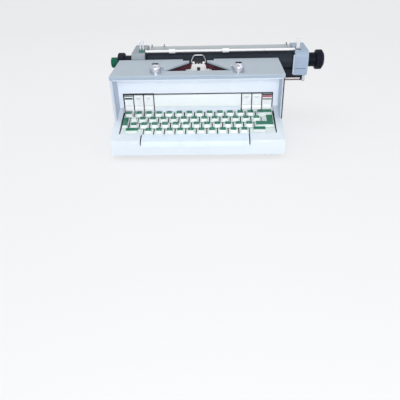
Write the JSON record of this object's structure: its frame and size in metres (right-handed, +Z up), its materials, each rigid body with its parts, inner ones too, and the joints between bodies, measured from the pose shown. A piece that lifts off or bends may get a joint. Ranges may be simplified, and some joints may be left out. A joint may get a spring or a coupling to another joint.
{
  "type": "electric typewriter",
  "caption": "Electric typewriter with a flat cover, green-capped keys in a sloping well, recessed front panel and a moving carriage.",
  "frame": {"origin": "middle of the outer box at the underside of the feet", "axes": "+X along the carriage to the typist's right, +Y from the keyboard to the back wall, +Z up"},
  "size_m": [0.4204, 0.2582, 0.165],
  "materials": {
    "case_paint": "satin",
    "case_plastic": "satin",
    "cover_paint": "satin",
    "pan_paint": "matte",
    "black_rubber": "matte",
    "platen_rubber": "matte",
    "steel": "brushed",
    "dark_steel": "satin",
    "chrome": "polished",
    "black_plastic": "satin",
    "key_white": "gloss",
    "key_green": "gloss",
    "button_white": "gloss",
    "white_plastic": "satin",
    "ribbon_fabric": "matte",
    "motor_paint": "satin"
  },
  "bodies": {
    "chassis": {"base_pan": "pan_paint", "rubber_feet": "black_rubber", "cheek_left": "case_paint", "cheek_right": "case_paint", "keyboard_surround": "case_paint", "front_panel": "case_paint", "top_cover": "cover_paint", "rear_cover": "case_paint", "mains_inlet": "black_plastic", "motor": "motor_paint", "drive_belt": "black_rubber", "fulcrum_rod": "steel", "type_segment": "steel", "typebars": "steel", "type_guide": "white_plastic", "card_holder": "steel", "ribbon_posts": "chrome", "ribbon": "ribbon_fabric", "carriage_bed": "dark_steel", "cross_frame": "dark_steel"},
    "motor_pulley": {"motor_pulley": "steel"},
    "power_roller": {"power_roller": "black_rubber"},
    "center_typebar": {"center_typebar": "steel"},
    "ribbon_spool_left": {"ribbon_spool_left": "black_plastic"},
    "ribbon_spool_right": {"ribbon_spool_right": "black_plastic"},
    "carriage": {"carriage_frame": "dark_steel", "carriage_end_left": "case_plastic", "carriage_end_right": "case_plastic", "paper_table": "steel"},
    "feed_rollers": {"feed_rollers": "black_rubber"},
    "platen": {"platen": "platen_rubber", "platen_shaft": "steel", "knob_left": "black_plastic", "knob_right": "black_plastic"},
    "clutch_button": {"clutch_button": "key_green"},
    "bail": {"bail_bar": "steel"},
    "bail_rollers": {"bail_rollers": "white_plastic"},
    "paper_release_lever": {"paper_release_lever": "steel"},
    "carriage_release_lever": {"carriage_release_lever": "steel"},
    "line_space_lever": {"line_space_lever": "steel"},
    "row_1": {"key_row_1": "key_white", "key_levers_1": "steel"},
    "row_2": {"key_row_2": "key_white", "key_levers_2": "steel"},
    "row_3": {"key_row_3": "key_white", "key_levers_3": "steel"},
    "row_4": {"key_row_4": "key_white", "key_levers_4": "steel"},
    "tab_key": {"tab_key": "key_green"},
    "shift_key_left": {"shift_key_left": "key_green"},
    "shift_key_right": {"shift_key_right": "key_green"},
    "return_key": {"return_key": "key_green"},
    "backspace_key": {"backspace_key": "key_green"},
    "space_bar": {"space_bar": "case_plastic"},
    "margin_button": {"margin_button": "button_white"},
    "tab_set_button": {"tab_set_button": "button_white"},
    "tab_clear_button": {"tab_clear_button": "button_white"},
    "repeat_button": {"repeat_button": "button_white"},
    "power_button": {"power_button": "button_white"},
    "ribbon_switch": {"ribbon_switch": "button_white"}
  },
  "joints": [
    {"name": "power_roller_spin", "type": "hinge", "parent": "chassis", "child": "power_roller", "pos_m": [-0.03475, 0.05155, 0.021], "axis": [1, 0, 0], "continuous": true},
    {"name": "motor_spin", "type": "hinge", "parent": "chassis", "child": "motor_pulley", "pos_m": [-0.17675, 0.10455, 0.036], "axis": [1, 0, 0], "continuous": true},
    {"name": "center_typebar_swing", "type": "hinge", "parent": "chassis", "child": "center_typebar", "pos_m": [-0.03475, 0.01879, 0.09347], "axis": [1, 0, 0], "range_deg": [-145, 0], "stiffness_Nm_per_rad": 0.0005, "springref_deg": 17.19},
    {"name": "left_spool_spin", "type": "hinge", "parent": "chassis", "child": "ribbon_spool_left", "pos_m": [-0.13075, -0.00245, 0.112], "axis": [0, 0, 1], "continuous": true},
    {"name": "right_spool_spin", "type": "hinge", "parent": "chassis", "child": "ribbon_spool_right", "pos_m": [0.06125, -0.00245, 0.112], "axis": [0, 0, 1], "continuous": true},
    {"name": "carriage_travel", "type": "slide", "parent": "chassis", "child": "carriage", "axis": [1, 0, 0], "range_m": [-0.162, 0.08]},
    {"name": "platen_turn", "type": "hinge", "parent": "carriage", "child": "platen", "pos_m": [-0.03475, 0.06155, 0.1217], "axis": [1, 0, 0], "continuous": true},
    {"name": "feed_roller_spin", "type": "hinge", "parent": "carriage", "child": "feed_rollers", "pos_m": [-0.03475, 0.05555, 0.09764], "axis": [1, 0, 0], "continuous": true},
    {"name": "clutch_press", "type": "slide", "parent": "platen", "child": "clutch_button", "axis": [1, 0, 0], "range_m": [0, 0.002], "stiffness_N_per_m": 300, "springref_m": -0.003},
    {"name": "bail_lift", "type": "hinge", "parent": "carriage", "child": "bail", "pos_m": [-0.03475, 0.08555, 0.124], "axis": [1, 0, 0], "range_deg": [-60, 0]},
    {"name": "bail_roller_spin", "type": "hinge", "parent": "bail", "child": "bail_rollers", "pos_m": [-0.03475, 0.05265, 0.1444], "axis": [1, 0, 0], "continuous": true},
    {"name": "paper_release", "type": "hinge", "parent": "carriage", "child": "paper_release_lever", "pos_m": [0.15525, 0.06405, 0.1325], "axis": [1, 0, 0], "range_deg": [0, 25]},
    {"name": "carriage_release", "type": "hinge", "parent": "carriage", "child": "carriage_release_lever", "pos_m": [-0.14375, 0.06405, 0.1325], "axis": [1, 0, 0], "range_deg": [0, 20], "stiffness_Nm_per_rad": 0.1, "springref_deg": -5.73},
    {"name": "line_space_select", "type": "hinge", "parent": "carriage", "child": "line_space_lever", "pos_m": [-0.14875, 0.06405, 0.1325], "axis": [1, 0, 0], "range_deg": [-18, 18]},
    {"name": "row_1_press", "type": "hinge", "parent": "chassis", "child": "row_1", "pos_m": [-0.03475, 0.07855, 0.05], "axis": [1, 0, 0], "range_deg": [0, 1.89], "stiffness_Nm_per_rad": 2, "springref_deg": -20.05},
    {"name": "row_2_press", "type": "hinge", "parent": "chassis", "child": "row_2", "pos_m": [-0.03475, 0.07855, 0.05], "axis": [1, 0, 0], "range_deg": [0, 1.64], "stiffness_Nm_per_rad": 2, "springref_deg": -20.05},
    {"name": "row_3_press", "type": "hinge", "parent": "chassis", "child": "row_3", "pos_m": [-0.03475, 0.07855, 0.05], "axis": [1, 0, 0], "range_deg": [0, 1.45], "stiffness_Nm_per_rad": 2, "springref_deg": -20.05},
    {"name": "row_4_press", "type": "hinge", "parent": "chassis", "child": "row_4", "pos_m": [-0.03475, 0.07855, 0.05], "axis": [1, 0, 0], "range_deg": [0, 1.3], "stiffness_Nm_per_rad": 2, "springref_deg": -20.05},
    {"name": "tab_key_press", "type": "hinge", "parent": "chassis", "child": "tab_key", "pos_m": [-0.03475, 0.07855, 0.05], "axis": [1, 0, 0], "range_deg": [0, 1.54], "stiffness_Nm_per_rad": 0.3, "springref_deg": -20.05},
    {"name": "shift_key_left_press", "type": "hinge", "parent": "chassis", "child": "shift_key_left", "pos_m": [-0.03475, 0.07855, 0.05], "axis": [1, 0, 0], "range_deg": [0, 1.3], "stiffness_Nm_per_rad": 0.3, "springref_deg": -20.05},
    {"name": "shift_key_right_press", "type": "hinge", "parent": "chassis", "child": "shift_key_right", "pos_m": [-0.03475, 0.07855, 0.05], "axis": [1, 0, 0], "range_deg": [0, 1.3], "stiffness_Nm_per_rad": 0.3, "springref_deg": -20.05},
    {"name": "return_key_press", "type": "hinge", "parent": "chassis", "child": "return_key", "pos_m": [-0.03475, 0.07855, 0.05], "axis": [1, 0, 0], "range_deg": [0, 1.45], "stiffness_Nm_per_rad": 0.3, "springref_deg": -20.05},
    {"name": "backspace_key_press", "type": "hinge", "parent": "chassis", "child": "backspace_key", "pos_m": [-0.03475, 0.07855, 0.05], "axis": [1, 0, 0], "range_deg": [0, 1.89], "stiffness_Nm_per_rad": 0.3, "springref_deg": -20.05},
    {"name": "space_bar_press", "type": "hinge", "parent": "chassis", "child": "space_bar", "pos_m": [-0.03475, 0.07855, 0.05], "axis": [1, 0, 0], "range_deg": [0, 1.18], "stiffness_Nm_per_rad": 0.6, "springref_deg": -20.05},
    {"name": "margin_button_press", "type": "slide", "parent": "chassis", "child": "margin_button", "axis": [0, 1, 0], "range_m": [0, 0.003], "stiffness_N_per_m": 300, "springref_m": -0.002},
    {"name": "tab_set_button_press", "type": "slide", "parent": "chassis", "child": "tab_set_button", "axis": [0, 1, 0], "range_m": [0, 0.003], "stiffness_N_per_m": 300, "springref_m": -0.002},
    {"name": "tab_clear_button_press", "type": "slide", "parent": "chassis", "child": "tab_clear_button", "axis": [0, 1, 0], "range_m": [0, 0.003], "stiffness_N_per_m": 300, "springref_m": -0.002},
    {"name": "repeat_button_press", "type": "slide", "parent": "chassis", "child": "repeat_button", "axis": [0, 1, 0], "range_m": [0, 0.003], "stiffness_N_per_m": 300, "springref_m": -0.002},
    {"name": "power_button_press", "type": "slide", "parent": "chassis", "child": "power_button", "axis": [0, 1, 0], "range_m": [0, 0.003], "stiffness_N_per_m": 300, "springref_m": -0.002},
    {"name": "ribbon_switch_press", "type": "slide", "parent": "chassis", "child": "ribbon_switch", "axis": [0, 1, 0], "range_m": [0, 0.003], "stiffness_N_per_m": 300, "springref_m": -0.002}
  ],
  "couplings": [
    {"joint": "motor_spin", "follows": "power_roller_spin", "ratio": 1.3846},
    {"joint": "right_spool_spin", "follows": "left_spool_spin", "ratio": 1},
    {"joint": "feed_roller_spin", "follows": "platen_turn", "ratio": -3.9}
  ]
}
